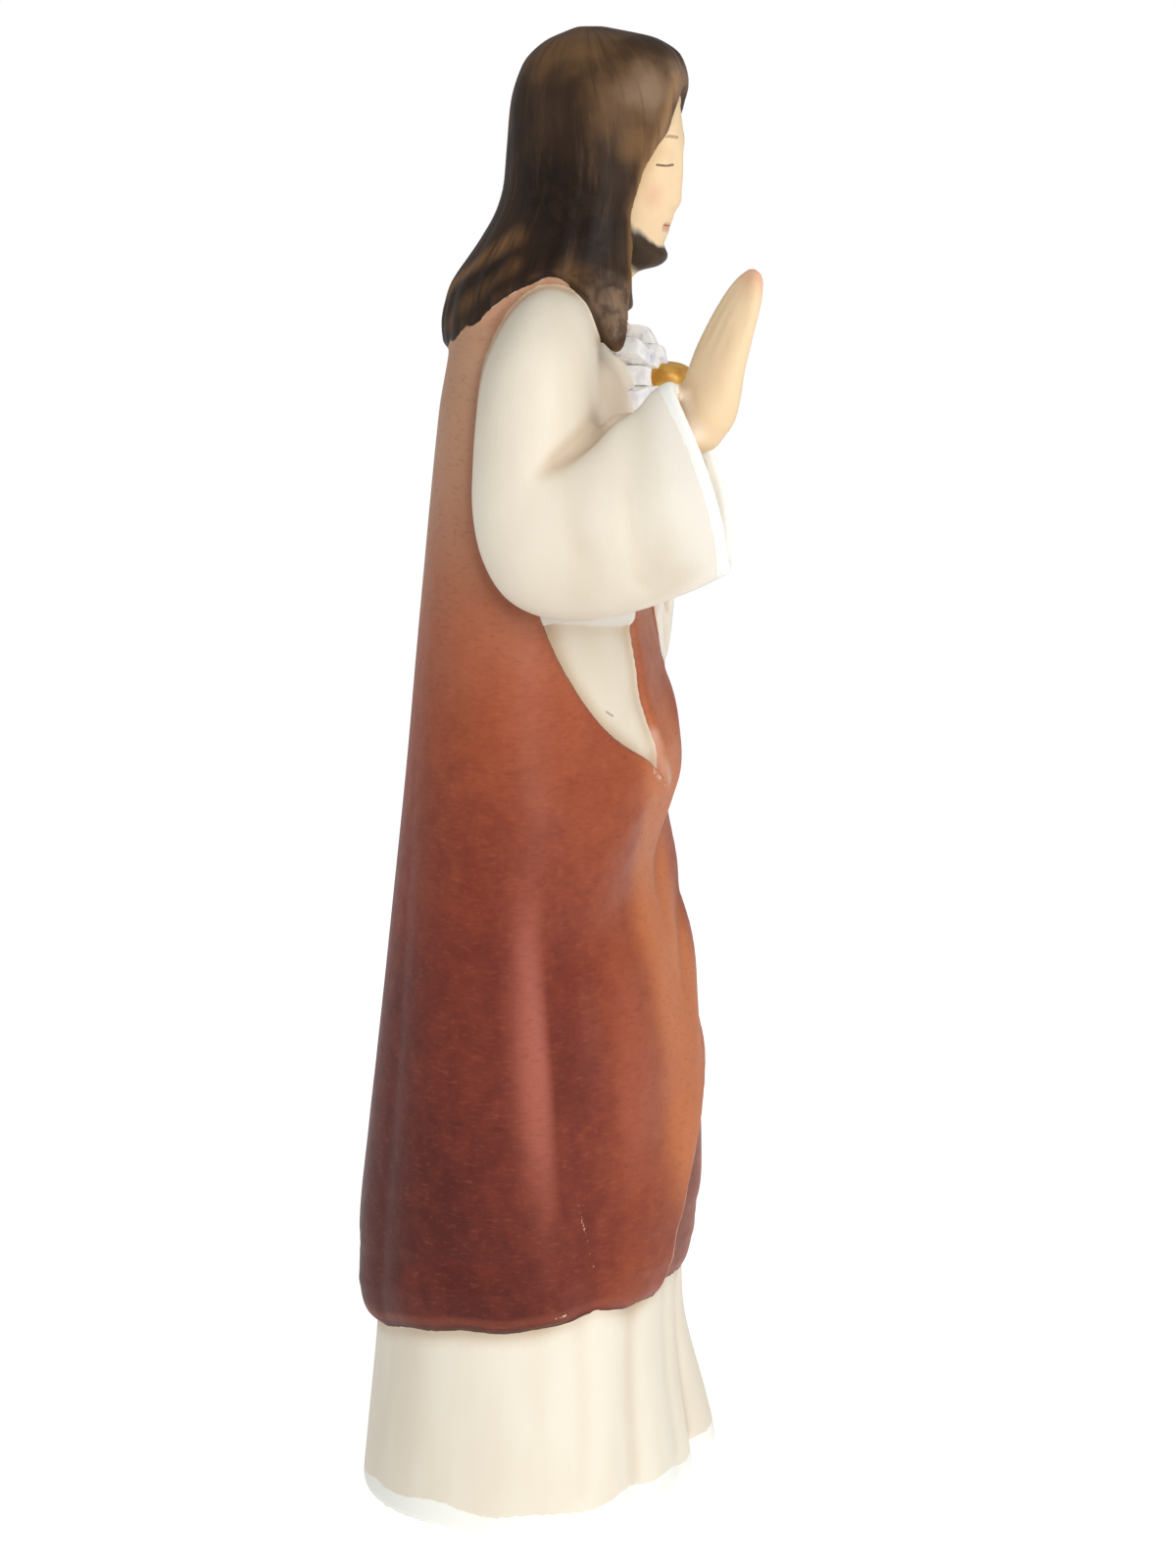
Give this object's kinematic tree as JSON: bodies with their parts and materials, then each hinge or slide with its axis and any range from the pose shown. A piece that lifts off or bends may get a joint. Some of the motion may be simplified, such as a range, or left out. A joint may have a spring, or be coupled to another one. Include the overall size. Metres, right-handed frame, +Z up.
{
  "type": "sacred heart statue",
  "caption": "Carved and painted wooden figure of a robed, mantled man with a raised right hand and a heart on a burst of rays at his chest, standing on the flat underside of his robe",
  "frame": {"origin": "middle of the flat underside of the robe, on the surface that the figure stands on", "axes": "+Z up; the figure faces -Y and its right hand is at -X"},
  "size_m": [0.0674, 0.0618, 0.2],
  "materials": {
    "painted_wood": "satin paint: cream robe, brown-red mantle, dark brown hair, white hem lines, gold heart"
  },
  "bodies": {
    "root": {"figure": "painted_wood"}
  },
  "joints": []
}
